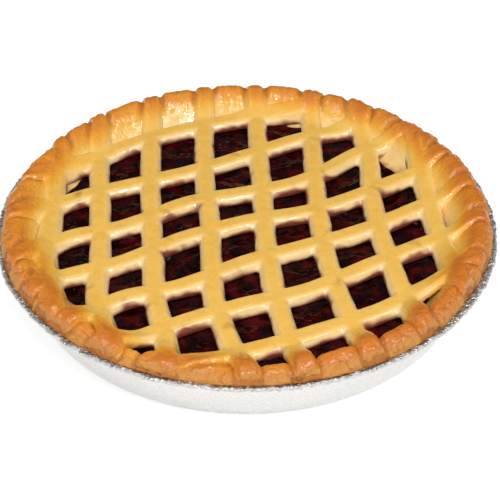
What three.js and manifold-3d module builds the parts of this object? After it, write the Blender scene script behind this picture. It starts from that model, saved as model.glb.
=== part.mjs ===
// A boysenberry tart with a lattice top, baked in the round foil tin that it is sold in.
//
// Millimetres, +Z up. The origin is the centre of the tin's underside, on the surface the tart stands on.
// -Y is the side that faces the viewer. Four pieces lie one inside the other:
//   foil_tin        thin round pan with a sloping wall and a rolled rim
//   pastry_crust    floor, wall and thick raised edge of the pastry, lying in the tin and over its rim
//   berry_filling   the dark filling, level with the foot of the lattice, its top lumpy with berries
//   lattice_top     one sheet of dough with four-sided holes, its strips running up over the raised edge

import * as THREE from "three";
import { mergeVertices } from "three/addons/utils/BufferGeometryUtils.js";
import Module from "manifold-3d";

const wasm = await Module();
wasm.setup();

// ------------------------------------------------------------------ driving dimensions
const GAP = 0.3; // air left between two pieces that touch
const SAME_PLACE = 0.01; // two heights or radii that differ by less are the same

const TIN_RADIUS = 115; // outside of the rolled rim: a 9 inch tin
const TIN_HEIGHT = 28;
const TIN_BASE_RADIUS = 101.5;
const WALL_TOP_RADIUS = 110; // outside of the wall, where it meets the flange
const FOIL = 0.8;
const BEAD_RADIUS = 0.9; // the rolled edge
const BASE_CORNER = 3; // rounding between the underside and the wall

const CRUST_FLOOR = 3.2; // thickness of pastry under the filling
const CRUST_INNER_RADIUS = 92; // where the filling stops and the raised edge starts to climb
const CRUST_INNER_SHIFT = 4; // that line lies this much further out at the near side, further in at the back
const CRUST_OUTER_RADIUS = 113.4; // the pastry stops just short of the rolled rim
const CREST_RADIUS = 106; // the highest line of the raised edge
const CREST_HEIGHT = 34.2;
const CREST_FALL = 0.1; // how fast the top rounds down outside the crest, per mm squared
const CRUST_LEDGE = 1; // height of the upright outer edge that lies over the tin's rim
const CRUST_ROWS = [112.4, 109, CREST_RADIUS, 102, 98, CRUST_INNER_RADIUS]; // radii of the top's rows
const CREST_WAVES = [
  // the slow rise and fall of the crest: height, waves on the way round, start in radians
  { height: 0.7, count: 1, start: 0 },
  { height: 0.7, count: 2, start: Math.PI / 2 },
  { height: 0.15, count: 5, start: 1 },
  { height: 0.1, count: 11, start: 2 },
];

const LATTICE_TOP = 28;
const STRIP_THICKNESS = 5.2; // over the filling
const STRIP_CREST_HEIGHT = 36.6; // of a strip's upper side where it crosses the crest
const STRIP_CREST_WAVES = [
  // written like those of the crest
  { height: 0.2, count: 1, start: Math.PI },
  { height: 0.5, count: 2, start: Math.PI / 2 },
];
const STRIP_BEND_RADIUS = 89; // a strip starts to turn up here
const STRIP_END_RADIUS = 112.3;
const STRIP_EDGE_DROP = 1.7; // height of the rounding along a strip's upper edges
const STRIP_FLAT_SHARE = 0.68; // how much of a strip's width is flat on top
const STRIP_END_HEIGHT = 2.5; // of the blunt end, over the tin's rim
const LONG_STRIP_WIDTH = 10.3;
const CROSS_STRIP_WIDTH = 11;
const CROSS_STRIP_DROP = 0.15; // the cross strips lie a little lower than the long ones
const CROSS_STRIP_RIM_DROP = 0.5; // and more so on the raised edge

const FILLING_TOP = 22;
const BERRY_BUMP = 0.5; // how far the lumps of fruit rise and fall
const BERRY_PITCH = 20; // from one lump to the next
const BERRY_SLANT = 0.33; // how far the rows of lumps lean off the axes

const SEGMENTS = 72; // sides of the round pieces
const FILLING_RINGS = 8;
const LINE_SAMPLES = 600; // points that a strip's line is drawn with
const FLAT_STEP = 20; // from one section of a strip to the next, over the filling
const RIM_STEP = 6; // and on the raised edge

// Where the strips of the lattice run. ends: the angles, in degrees from +X, at which a strip crosses the
// crest. The long strips go from the near side to the far side: middle holds their x at the stations of y.
// The cross strips go from left to right: middle holds their y at the stations of x. A station is null
// where the strip lies on the raised edge there, and runs straight to its end.
const STATIONS = [-84, -56, -28, 0, 28, 56, 84];
const LONG_STRIPS = [
  { ends: [-140.7, 150], middle: [null, null, -89.5, -90.8, -91.5, null, null] },
  { ends: [-121.5, 134.9], middle: [null, -64.8, -66, -68.3, -71, -73.5, null] },
  { ends: [-107.6, 117.6], middle: [-33.5, -39.5, -42, -44.5, -46.5, -47.8, null] },
  { ends: [-90, 102.2], middle: [-7, -14, -16, -17.2, -19.8, -21.2, -21.8] },
  { ends: [-77.6, 87.7], middle: [18, 13, 9.8, 8.2, 7.3, 6, 5] },
  { ends: [-62.1, 71.8], middle: [null, 40.5, 36, 34, 33.3, 33, 33] },
  { ends: [-46.7, 58.1], middle: [null, 68.3, 64, 60.5, 59.8, 60.5, null] },
  { ends: [-29.5, 38.6], middle: [null, null, 89.3, 87, 85.6, 82.8, null] },
];
const CROSS_STRIPS = [
  { ends: [164.5, 71], middle: [43, 67, 81, 90.4, 94.4, null, null] },
  { ends: [181.5, 55.8], middle: [16.5, 29.8, 41, 55.5, 71.2, 81, null] },
  { ends: [199, 41], middle: [-14, -3.5, 14.5, 23.5, 34, 57.7, null] },
  { ends: [212, 26.8], middle: [-43, -31, -12.5, 0, 8, 22.5, 41] },
  { ends: [225.8, 11.8], middle: [null, -57, -47, -30.5, -18.5, -5.5, 13] },
  { ends: [237, -3.5], middle: [null, null, -72.5, -60, -50, -32, -15.5] },
  { ends: [249, -20.5], middle: [null, null, -102.5, -90.2, -78.5, -64.5, -44.5] },
];

// ------------------------------------------------------------------ materials
const foilMaterial = new THREE.MeshStandardMaterial({ color: 0xd9d9d6, roughness: 0.38, metalness: 0.9 });
const crustMaterial = new THREE.MeshStandardMaterial({ color: 0xd8892f, roughness: 0.5, metalness: 0 });
const latticeMaterial = new THREE.MeshStandardMaterial({ color: 0xebb95f, roughness: 0.42, metalness: 0 });
const fillingMaterial = new THREE.MeshStandardMaterial({ color: 0x2a0508, roughness: 0.15, metalness: 0 });

// ------------------------------------------------------------------ helpers
const smoothstep = (from, to, x) => THREE.MathUtils.smoothstep(x, from, to);

// Points on a quarter turn, or any arc, of a profile in the (radius, height) plane.
function arc(centreR, centreZ, radius, fromDegrees, toDegrees, steps) {
  const points = [];
  for (let i = 0; i <= steps; i++) {
    const angle = THREE.MathUtils.degToRad(fromDegrees + ((toDegrees - fromDegrees) * i) / steps);
    points.push([centreR + radius * Math.cos(angle), centreZ + radius * Math.sin(angle)]);
  }
  return points;
}

// Turns a profile of [radius, height] round the Z axis.
function turned(profile) {
  const points = profile.map(([radius, height]) => new THREE.Vector2(radius, height));
  return new THREE.LatheGeometry(points, SEGMENTS).rotateX(Math.PI / 2);
}

// Calls move(vertex) on each vertex, which may change it.
function reshape(geometry, move) {
  const position = geometry.getAttribute("position");
  const vertex = new THREE.Vector3();
  for (let i = 0; i < position.count; i++) {
    move(vertex.fromBufferAttribute(position, i));
    position.setXYZ(i, vertex.x, vertex.y, vertex.z);
  }
  return geometry;
}

// Moves a vertex straight out from the Z axis, or in towards it.
function scaleOut(vertex, scale) {
  vertex.x *= scale;
  vertex.y *= scale;
}

function solidOf(geometry) {
  const bare = geometry.clone();
  bare.deleteAttribute("normal");
  bare.deleteAttribute("uv");
  const merged = mergeVertices(bare, 1e-3);
  const mesh = new wasm.Mesh({
    numProp: 3,
    vertProperties: merged.getAttribute("position").array,
    triVerts: new Uint32Array(merged.index.array),
  });
  return new wasm.Manifold(mesh);
}

function geometryOf(solid) {
  const mesh = solid.getMesh();
  const geometry = new THREE.BufferGeometry();
  geometry.setAttribute("position", new THREE.BufferAttribute(mesh.vertProperties, 3));
  geometry.setIndex(new THREE.BufferAttribute(mesh.triVerts, 1));
  geometry.computeVertexNormals();
  return geometry;
}

// ------------------------------------------------------------------ the tin
// Underside, sloping wall, narrow flange and rolled rim, then back down the inside, one foil thickness away.
function tinGeometry() {
  const slope = Math.atan2(WALL_TOP_RADIUS - TIN_BASE_RADIUS, TIN_HEIGHT);
  const beadR = TIN_RADIUS - BEAD_RADIUS;
  const beadZ = TIN_HEIGHT - BEAD_RADIUS;
  const flangeZ = beadZ - BEAD_RADIUS / 2;
  const tilt = THREE.MathUtils.radToDeg(slope);
  const outerCorner = arc(TIN_BASE_RADIUS - BASE_CORNER, BASE_CORNER, BASE_CORNER, -90, -tilt, 2);
  const innerCorner = arc(TIN_BASE_RADIUS - BASE_CORNER, BASE_CORNER, BASE_CORNER - FOIL, -tilt, -90, 1);
  const bead = arc(beadR, beadZ, BEAD_RADIUS, -90, 180, 3);
  return turned([
    [0, 0],
    ...outerCorner,
    [WALL_TOP_RADIUS, flangeZ - 2 * FOIL],
    [WALL_TOP_RADIUS + FOIL, flangeZ - FOIL],
    ...bead,
    [WALL_TOP_RADIUS + FOIL, flangeZ],
    [WALL_TOP_RADIUS - FOIL, flangeZ - FOIL],
    ...innerCorner,
    [0, FOIL],
  ]);
}

// ------------------------------------------------------------------ the crust
// The sum of some waves at an angle: how much higher the edge is there than it is on average.
function rise(waves, angle) {
  return waves.reduce((sum, wave) => sum + wave.height * Math.sin(wave.count * angle + wave.start), 0);
}

// Where the filling stops and the raised edge starts, at an angle.
function crustFoot(angle) {
  return CRUST_INNER_RADIUS - CRUST_INNER_SHIFT * Math.sin(angle);
}

// How much the height falls outside the crest, at a distance from the centre.
function shoulder(radius) {
  const past = THREE.MathUtils.clamp(radius, CREST_RADIUS, CRUST_OUTER_RADIUS - 1) - CREST_RADIUS;
  return CREST_FALL * past ** 2;
}

// The top of the crust's raised edge: a slope up to the crest, then a rounded shoulder down to the rim.
function crustTop(radius, angle) {
  const foot = LATTICE_TOP - STRIP_THICKNESS - 2 * GAP;
  const climb = smoothstep(crustFoot(angle), CREST_RADIUS, radius);
  return foot + (CREST_HEIGHT + rise(CREST_WAVES, angle) - foot) * climb - shoulder(radius);
}

function crustGeometry() {
  const floorZ = FOIL + GAP;
  const wallSlope = (WALL_TOP_RADIUS - TIN_BASE_RADIUS) / TIN_HEIGHT;
  const wallOut = (z) => TIN_BASE_RADIUS - FOIL - 2 * GAP + wallSlope * (z - BASE_CORNER);
  const overRim = TIN_HEIGHT + GAP;
  const wallTop = overRim - CRUST_FLOOR;
  const geometry = turned([
    [0, floorZ],
    [TIN_BASE_RADIUS - BASE_CORNER, floorZ],
    [wallOut(BASE_CORNER), BASE_CORNER],
    [wallOut(wallTop), wallTop],
    [WALL_TOP_RADIUS, overRim],
    [CRUST_OUTER_RADIUS - GAP, overRim],
    [CRUST_OUTER_RADIUS, overRim + CRUST_LEDGE],
    ...CRUST_ROWS.map((radius) => [radius, crustTop(radius, 0)]),
    [CRUST_INNER_RADIUS, floorZ + CRUST_FLOOR],
    [0, floorZ + CRUST_FLOOR],
  ]);
  // The profile was drawn for angle 0: each vertex of the top takes the height of its own angle, and the
  // inner wall moves to its own radius there.
  return reshape(geometry, (v) => {
    const radius = Math.hypot(v.x, v.y);
    const angle = Math.atan2(v.y, v.x);
    const onTop = Math.abs(v.z - crustTop(radius, 0)) < SAME_PLACE;
    const onInnerWall = Math.abs(radius - CRUST_INNER_RADIUS) < SAME_PLACE;
    if (onTop && !onInnerWall) v.z = crustTop(radius, angle);
    if (onInnerWall) scaleOut(v, crustFoot(angle) / CRUST_INNER_RADIUS);
  });
}

// ------------------------------------------------------------------ the filling
// Rounded lumps of fruit: the crests of two crossed waves, in rows that lean off the axes.
function berryBump(x, y) {
  const wave = (2 * Math.PI) / BERRY_PITCH;
  return BERRY_BUMP * Math.sin(wave * (x + BERRY_SLANT * y)) * Math.sin(wave * (y - BERRY_SLANT * x));
}

function fillingGeometry() {
  const bottom = FOIL + CRUST_FLOOR + 2 * GAP;
  const radius = CRUST_INNER_RADIUS - GAP;
  const top = [];
  for (let i = FILLING_RINGS; i >= 0; i--) top.push([(radius * i) / FILLING_RINGS, FILLING_TOP]);
  const geometry = turned([[0, bottom], [radius, bottom], ...top]);
  return reshape(geometry, (v) => {
    scaleOut(v, crustFoot(Math.atan2(v.y, v.x)) / CRUST_INNER_RADIUS);
    if (v.z > bottom) v.z += berryBump(v.x, v.y);
  });
}

// ------------------------------------------------------------------ the lattice
// The height of a strip's upper side: level over the filling, then up with the raised edge and over it.
function stripTop(radius, angle, drop, rimDrop) {
  const climb = smoothstep(STRIP_BEND_RADIUS, CREST_RADIUS, radius);
  const crest = STRIP_CREST_HEIGHT + rise(STRIP_CREST_WAVES, angle) - rimDrop;
  return THREE.MathUtils.lerp(LATTICE_TOP - drop, crest, climb) - shoulder(radius);
}

// A strip's line in plan: over the crest at its first end, through its stations, and over the crest again.
function stripLine({ ends, middle }, place) {
  const onEdge = (degrees, radius) => {
    const angle = THREE.MathUtils.degToRad(degrees);
    return new THREE.Vector2(radius * Math.cos(angle), radius * Math.sin(angle));
  };
  const past = STRIP_END_RADIUS + LONG_STRIP_WIDTH / 2;
  const points = STATIONS.map((station, i) => (middle[i] === null ? null : place(station, middle[i])));
  const [first, last] = ends;
  const route = [
    onEdge(first, past),
    onEdge(first, CREST_RADIUS),
    ...points.filter((point) => point !== null),
    onEdge(last, CREST_RADIUS),
    onEdge(last, past),
  ];
  return new THREE.SplineCurve(route).getPoints(LINE_SAMPLES);
}

// The places along a line where a strip gets a cross-section: close together on the raised edge.
function sectionPlaces(line) {
  const places = [0];
  let since = 0;
  for (let i = 1; i < line.length - 1; i++) {
    since += line[i].distanceTo(line[i - 1]);
    const step = line[i].length() > STRIP_BEND_RADIUS - RIM_STEP ? RIM_STEP : FLAT_STEP;
    if (since < step) continue;
    places.push(i);
    since = 0;
  }
  return [...places, line.length - 1];
}

// One strip of dough: a flat section with rounded upper edges, carried along its line.
function stripGeometry(line, width, drop, rimDrop) {
  const half = width / 2;
  const flat = STRIP_FLAT_SHARE * half;
  const bottom = LATTICE_TOP - STRIP_THICKNESS;
  const vertices = [];
  const addVertex = (i, across, fall) => {
    const ahead = line[Math.min(i + 1, line.length - 1)];
    const along = ahead.clone().sub(line[Math.max(i - 1, 0)]).normalize();
    const x = line[i].x + along.y * across;
    const y = line[i].y - along.x * across;
    const top = stripTop(Math.hypot(x, y), Math.atan2(y, x), drop, rimDrop);
    vertices.push(x, y, fall === null ? bottom : top - fall);
  };
  const places = sectionPlaces(line);
  for (const i of places) {
    addVertex(i, -half, null);
    addVertex(i, half, null);
    addVertex(i, half, STRIP_EDGE_DROP);
    addVertex(i, flat, 0);
    addVertex(i, -flat, 0);
    addVertex(i, -half, STRIP_EDGE_DROP);
  }
  const n = 6;
  const faces = [];
  for (let ring = 0; ring < places.length - 1; ring++) {
    for (let k = 0; k < n; k++) {
      const a = ring * n + k;
      const b = ring * n + ((k + 1) % n);
      faces.push(a, a + n, b + n, a, b + n, b);
    }
  }
  const endRing = (places.length - 1) * n;
  for (let k = 2; k < n; k++) {
    faces.push(0, k - 1, k);
    faces.push(endRing, endRing + k, endRing + k - 1);
  }
  const geometry = new THREE.BufferGeometry();
  geometry.setAttribute("position", new THREE.Float32BufferAttribute(vertices, 3));
  geometry.setIndex(faces);
  return geometry;
}

// The round space that the strips are trimmed to, so that they end pinched to the crust's outer edge. Its
// lower side runs inside the crust, clear of the tin.
function trimGeometry() {
  const foot = LATTICE_TOP - STRIP_THICKNESS - GAP;
  const footRadius = (CRUST_INNER_RADIUS + CREST_RADIUS) / 2;
  const ledge = TIN_HEIGHT + 3 * GAP;
  const endTop = ledge + STRIP_END_HEIGHT;
  const over = STRIP_CREST_HEIGHT + STRIP_EDGE_DROP; // clear over every strip
  return turned([
    [0, foot],
    [footRadius, foot],
    [WALL_TOP_RADIUS - 2, ledge],
    [STRIP_END_RADIUS, ledge],
    [STRIP_END_RADIUS, endTop],
    [STRIP_END_RADIUS - (over - endTop), over],
    [0, over],
  ]);
}

function latticeGeometry() {
  const longStrip = (strip) => {
    const line = stripLine(strip, (y, x) => new THREE.Vector2(x, y));
    return stripGeometry(line, LONG_STRIP_WIDTH, 0, 0);
  };
  const crossStrip = (strip) => {
    const line = stripLine(strip, (x, y) => new THREE.Vector2(x, y));
    return stripGeometry(line, CROSS_STRIP_WIDTH, CROSS_STRIP_DROP, CROSS_STRIP_RIM_DROP);
  };
  const strips = [...LONG_STRIPS.map(longStrip), ...CROSS_STRIPS.map(crossStrip)];
  const sheet = strips.map(solidOf).reduce((joined, strip) => joined.add(strip));
  const crustBelow = solidOf(crustGeometry().translate(0, 0, GAP));
  return geometryOf(sheet.intersect(solidOf(trimGeometry())).subtract(crustBelow));
}

// ------------------------------------------------------------------ the tart
const tart = new THREE.Group();

function addPiece(name, geometry, material) {
  const piece = new THREE.Mesh(geometry, material);
  piece.name = name;
  tart.add(piece);
}

addPiece("foil_tin", tinGeometry(), foilMaterial);
addPiece("pastry_crust", crustGeometry(), crustMaterial);
addPiece("berry_filling", fillingGeometry(), fillingMaterial);
addPiece("lattice_top", latticeGeometry(), latticeMaterial);

export default tart;
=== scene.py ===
# %% [markdown]
# # A boysenberry tart in its foil tin
# A round pastry case holds a dark, glossy berry filling under a lattice of pale strips. The strips run
# up over the raised edge, where the oven has browned them, and the whole stands in the foil tin it was
# baked in. The solids of the part are loaded first. They fix every size and place, so each new piece
# is built round them.

import math

import bmesh
import bpy
import numpy as np
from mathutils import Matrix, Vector, kdtree, noise


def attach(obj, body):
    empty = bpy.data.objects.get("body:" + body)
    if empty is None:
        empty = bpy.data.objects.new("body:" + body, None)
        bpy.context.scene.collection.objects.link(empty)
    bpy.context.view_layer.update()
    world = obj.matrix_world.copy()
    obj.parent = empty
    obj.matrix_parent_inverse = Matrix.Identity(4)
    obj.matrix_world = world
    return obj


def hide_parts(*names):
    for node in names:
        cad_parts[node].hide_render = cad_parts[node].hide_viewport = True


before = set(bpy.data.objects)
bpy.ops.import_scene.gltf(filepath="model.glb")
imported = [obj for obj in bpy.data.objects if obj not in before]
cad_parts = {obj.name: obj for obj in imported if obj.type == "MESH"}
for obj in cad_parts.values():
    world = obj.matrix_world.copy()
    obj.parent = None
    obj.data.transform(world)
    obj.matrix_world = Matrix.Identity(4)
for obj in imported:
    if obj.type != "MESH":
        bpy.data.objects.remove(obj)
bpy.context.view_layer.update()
MM = 0.001  # every size below is in millimetres, and Blender works in metres
print("solids:", sorted(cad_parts))

# %% [markdown]
# ## The camera
# The photo was taken from the front, well above the tart. The angle and the distance come from fitting
# the tin's and the crust's round outlines. A small shift puts the tart where it is in the photo's
# frame.

# %% Camera
IMAGE_SIDE = 500  # pixels
CAMERA_ELEVATION = math.radians(37.3)
CAMERA_DISTANCE = 620 * MM
CAMERA_TARGET = Vector((0, 0, 14 * MM))
FOCAL_LENGTH_PX = 1317.3
TARGET_PX = (246.8, 241.85)  # where the target falls in the photo
SENSOR = 36  # millimetres, Blender's own

camera_data = bpy.data.cameras.new("camera")
camera_data.sensor_width = SENSOR
camera_data.lens = FOCAL_LENGTH_PX / IMAGE_SIDE * SENSOR
camera_data.shift_x = (IMAGE_SIDE / 2 - TARGET_PX[0]) / IMAGE_SIDE
camera_data.shift_y = (TARGET_PX[1] - IMAGE_SIDE / 2) / IMAGE_SIDE
camera_data.clip_start = 0.01
camera = bpy.data.objects.new("camera", camera_data)
camera.location = CAMERA_TARGET + CAMERA_DISTANCE * Vector(
    (0, -math.cos(CAMERA_ELEVATION), math.sin(CAMERA_ELEVATION))
)
camera.rotation_euler = (math.pi / 2 - CAMERA_ELEVATION, 0, 0)
bpy.context.collection.objects.link(camera)
bpy.context.scene.camera = camera
print("lens", round(camera_data.lens, 1), "mm")

# %% [markdown]
# ## Helpers for node trees
# The light of the studio and every material are trees of nodes. These few functions add one node each
# and set or link its inputs, so that a tree further down reads as a sum does.

# %% Node helpers
def srgb(red, green, blue):
    """A colour as read off the screen, 0 to 255, as the linear colour that a shader wants."""
    def linear(value):
        c = value / 255
        return c / 12.92 if c <= 0.04045 else ((c + 0.055) / 1.055) ** 2.4
    return (linear(red), linear(green), linear(blue), 1)


def add_node(tree, kind, **settings):
    node = tree.nodes.new(kind)
    for name, value in settings.items():
        if name.startswith("in_"):
            node.inputs[name[3:].replace("_", " ")].default_value = value
        else:
            setattr(node, name, value)
    return node


def calculate(tree, operation, a, b=None, clamp=False):
    node = tree.nodes.new("ShaderNodeMath")
    node.operation = operation
    node.use_clamp = clamp
    for socket, value in zip(node.inputs, (a, b)):
        if isinstance(value, (int, float)):
            socket.default_value = value
        elif value is not None:
            tree.links.new(value, socket)
    return node.outputs[0]


def times(tree, a, b):
    return calculate(tree, "MULTIPLY", a, b)


def plus(tree, a, b, clamp=False):
    return calculate(tree, "ADD", a, b, clamp)


def remap(tree, value, low, high, to_low=0.0, to_high=1.0):
    node = tree.nodes.new("ShaderNodeMapRange")
    node.interpolation_type = "SMOOTHSTEP"
    tree.links.new(value, node.inputs["Value"])
    for name, number in (("From Min", low), ("From Max", high), ("To Min", to_low), ("To Max", to_high)):
        node.inputs[name].default_value = number
    return node.outputs["Result"]


def noise_value(tree, position, size, detail=2.0, roughness=0.5):
    node = tree.nodes.new("ShaderNodeTexNoise")
    node.inputs["Scale"].default_value = 1 / (size * MM)
    node.inputs["Detail"].default_value = detail
    node.inputs["Roughness"].default_value = roughness
    tree.links.new(position, node.inputs["Vector"])
    return node.outputs["Fac"]


def mixed(tree, factor, first, second):
    node = tree.nodes.new("ShaderNodeMix")
    node.data_type = "RGBA"
    for socket, value in ((node.inputs[0], factor), (node.inputs[6], first), (node.inputs[7], second)):
        if isinstance(value, (int, float, tuple)):
            socket.default_value = value
        else:
            tree.links.new(value, socket)
    return node.outputs[2]


def new_group(name, inputs, outputs):
    tree = bpy.data.node_groups.new(name, "ShaderNodeTree")
    for title, default in inputs:
        socket = tree.interface.new_socket(name=title, in_out="INPUT", socket_type="NodeSocketFloat")
        socket.default_value = default
    for title, kind in outputs:
        tree.interface.new_socket(name=title, in_out="OUTPUT", socket_type=kind)
    return tree, tree.nodes.new("NodeGroupInput"), tree.nodes.new("NodeGroupOutput")


def place_group(tree, group, **values):
    node = tree.nodes.new("ShaderNodeGroup")
    node.node_tree = group
    for title, value in values.items():
        socket = node.inputs[title.replace("_", " ")]
        if isinstance(value, (int, float)):
            socket.default_value = value
        else:
            tree.links.new(value, socket)
    return node


print("node helpers ready")

# %% [markdown]
# ## Floor and light
# The tart stands on plain white, in soft light. A long softbox to the right of the front is mirrored
# in the slopes along the strips' upper edges, a larger one at the left evens out the shade, and three
# small lamps make crisp glints on the glaze. The studio's ceiling is white and its far wall is dark,
# because the flat jelly mirrors that wall, and it is almost black in the photo. The side walls are
# grey, so that the tin's rim stays bright. Colours are shown without a film look, so that a colour
# here is the colour in the picture.

# %% Studio and softboxes
CEILING_LIGHT = 0.39
CEILING_REACH = (0.55, 0.95)  # how far up a ray points where the ceiling starts, and where it is in full
WALL_LIGHT = 0.06
SIDE_LIGHT = 0.30  # of the walls at the left and the right
SIDE_REACH = (0.45, 0.85)  # the same, by how far sideways a ray points
LAMP_PLACES = [(-0.42, -0.58, 0.96), (0.03, -0.62, 1.02), (0.45, -0.56, 0.96)]  # metres, as are the sizes
LAMP_SIZE = (0.12, 0.08)
LAMP_WATTS = 1.25
FLOOR_SIDE = 6.0
FLOOR_PAINT = (0.80, 0.80, 0.80, 1)
FLOOR_GLOW = 0.45  # evens out the white where the tart shades it
bpy.context.scene.view_settings.view_transform = "Standard"

world = bpy.data.worlds.new("studio")
world.use_nodes = True
tree = world.node_tree
upward = tree.nodes.new("ShaderNodeSeparateXYZ")
tree.links.new(tree.nodes.new("ShaderNodeTexCoord").outputs["Generated"], upward.inputs[0])
ceiling = remap(tree, upward.outputs["Z"], *CEILING_REACH, WALL_LIGHT, CEILING_LIGHT)
sides = remap(tree, calculate(tree, "ABSOLUTE", upward.outputs["X"]), *SIDE_REACH, 0.0, SIDE_LIGHT)
tree.links.new(calculate(tree, "MAXIMUM", ceiling, sides), tree.nodes["Background"].inputs["Strength"])
tree.nodes["Background"].inputs["Color"].default_value = (1, 1, 1, 1)
bpy.context.scene.world = world


def softbox(name, place, width, depth, watts):
    light = bpy.data.lights.new(name, "AREA")
    light.shape = "RECTANGLE"
    light.size = width
    light.size_y = depth
    light.energy = watts
    lamp = bpy.data.objects.new(name, light)
    lamp.location = place
    lamp.rotation_euler = (CAMERA_TARGET - Vector(place)).to_track_quat("-Z", "Y").to_euler()
    bpy.context.collection.objects.link(lamp)


softbox("softbox_right", (0.60, -0.52, 0.88), 1.0, 0.30, 5.5)
softbox("softbox_left", (-0.50, -0.38, 1.02), 0.8, 0.6, 4.0)
softbox("softbox_front", (-0.25, -0.95, 0.42), 1.0, 0.5, 1.3)
for number, place in enumerate(LAMP_PLACES):
    softbox(f"lamp_{number}", place, *LAMP_SIZE, LAMP_WATTS)

bpy.ops.object.select_all(action="DESELECT")
bpy.ops.mesh.primitive_plane_add(size=FLOOR_SIDE)
floor = bpy.context.object
floor.name = "floor"
floor_paint = bpy.data.materials.new("floor_paint")
floor_paint.use_nodes = True
paint_shader = floor_paint.node_tree.nodes["Principled BSDF"]
paint_shader.inputs["Base Color"].default_value = FLOOR_PAINT
paint_shader.inputs["Roughness"].default_value = 0.8
paint_shader.inputs["Emission Color"].default_value = (1, 1, 1, 1)
paint_shader.inputs["Emission Strength"].default_value = FLOOR_GLOW
floor.data.materials.append(floor_paint)
print("floor", FLOOR_SIDE, "m")

# %% [markdown]
# ## Driving sizes
# These follow the sizes of the solids, so that the looks sit exactly where the solids are. The tin is
# a 9 inch tin. The raised edge has its crest 106 mm out from the centre, and the strips lie over it.

# %% Sizes in millimetres
TIN_RADIUS = 115
TIN_HEIGHT = 28
TIN_BASE_RADIUS = 101.5
TIN_WALL_TOP = 110
CRUST_FLOOR = 3.2
CRUST_INNER_RADIUS = 92
CRUST_OUTER_RADIUS = 113
CREST_RADIUS = 106
LATTICE_TOP = 28
STRIP_THICKNESS = 5.2
STRIP_BEND_RADIUS = 89
STRIP_END_RADIUS = 112.3
STRIP_CUT_RADIUS = 116  # the lines run this far, and the dough is then pinched back to the end radius
LONG_STRIP_WIDTH = 10.3
CROSS_STRIP_WIDTH = 11
CROSS_STRIP_DROP = 0.15  # the cross strips lie a little lower than the long ones
CROSS_STRIP_RIM_DROP = 0.5  # and more so on the raised edge
FILLING_TOP = 22

STATIONS = [-84, -56, -28, 0, 28, 56, 84]
LONG_STRIPS = [  # degrees on the crest at the near and the far end, and x at the stations of y
    ((-140.7, 150), (None, None, -89.5, -90.8, -91.5, None, None)),
    ((-121.5, 134.9), (None, -64.8, -66, -68.3, -71, -73.5, None)),
    ((-107.6, 117.6), (-33.5, -39.5, -42, -44.5, -46.5, -47.8, None)),
    ((-90, 102.2), (-7, -14, -16, -17.2, -19.8, -21.2, -21.8)),
    ((-77.6, 87.7), (18, 13, 9.8, 8.2, 7.3, 6, 5)),
    ((-62.1, 71.8), (None, 40.5, 36, 34, 33.3, 33, 33)),
    ((-46.7, 58.1), (None, 68.3, 64, 60.5, 59.8, 60.5, None)),
    ((-29.5, 38.6), (None, None, 89.3, 87, 85.6, 82.8, None)),
]
CROSS_STRIPS = [  # degrees on the crest at the left and the right end, and y at the stations of x
    ((164.5, 71), (43, 67, 81, 90.4, 94.4, None, None)),
    ((181.5, 55.8), (16.5, 29.8, 41, 55.5, 71.2, 81, None)),
    ((199, 41), (-14, -3.5, 14.5, 23.5, 34, 57.7, None)),
    ((212, 26.8), (-43, -31, -12.5, 0, 8, 22.5, 41)),
    ((225.8, 11.8), (None, -57, -47, -30.5, -18.5, -5.5, 13)),
    ((237, -3.5), (None, None, -72.5, -60, -50, -32, -15.5)),
    ((249, -20.5), (None, None, -102.5, -90.2, -78.5, -64.5, -44.5)),
]
print(len(LONG_STRIPS), "long and", len(CROSS_STRIPS), "cross strips")

# %% [markdown]
# ## Helpers for shaping
# Round pieces start as a filled circle. Its face is pulled up and scaled again and again, which leaves
# one ring of faces for each step and closes the piece at both ends. Afterwards the points are moved in
# code, as a sculptor would push them: that needs their coordinates as one array, and the slow rise and
# fall of the dough.

# %% Round pieces and moved points
def smoothstep(low, high, value):
    t = np.clip((value - low) / (high - low), 0, 1)
    return t * t * (3 - 2 * t)


def points_of(piece):
    flat = np.empty(len(piece.data.vertices) * 3)
    piece.data.vertices.foreach_get("co", flat)
    return flat.reshape(-1, 3) / MM


def move_points(piece, points):
    piece.data.vertices.foreach_set("co", (points * MM).ravel())
    piece.data.update()


def turned_piece(name, profile, sides):
    bpy.ops.object.select_all(action="DESELECT")
    radius, height = profile[0]
    bpy.ops.mesh.primitive_circle_add(vertices=sides, radius=radius * MM, fill_type="NGON")
    piece = bpy.context.object
    piece.name = name
    bpy.ops.object.mode_set(mode="EDIT")
    bpy.ops.transform.translate(value=(0, 0, height * MM))
    for next_radius, next_height in profile[1:]:
        bpy.ops.mesh.extrude_region_move()
        bpy.ops.transform.translate(value=(0, 0, (next_height - height) * MM))
        grow = next_radius / radius
        bpy.ops.transform.resize(value=(grow, grow, 1), center_override=(0, 0, next_height * MM))
        radius, height = next_radius, next_height
    bpy.ops.mesh.select_all(action="SELECT")
    bpy.ops.mesh.normals_make_consistent(inside=False)
    bpy.ops.object.mode_set(mode="OBJECT")
    return piece


def in_steps(profile, step):
    """The profile with more points, none further than a step from the last."""
    fine = [profile[0]]
    for start, end in zip(profile, profile[1:]):
        count = max(1, math.ceil(math.dist(start, end) / step))
        for i in range(1, count + 1):
            fine.append(tuple(a + (b - a) * i / count for a, b in zip(start, end)))
    return fine


def select_only(*pieces):
    bpy.ops.object.select_all(action="DESELECT")
    for piece in pieces:
        piece.select_set(True)
    bpy.context.view_layer.objects.active = pieces[0]


def waver(points, size, seed):
    """Smooth noise from -1 to 1 at each point, with lumps of about that size in millimetres."""
    offset = Vector((seed * 17.3, seed * 5.1, seed * 9.7))
    return np.array([noise.noise(Vector(p) / size + offset) for p in points])


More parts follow.
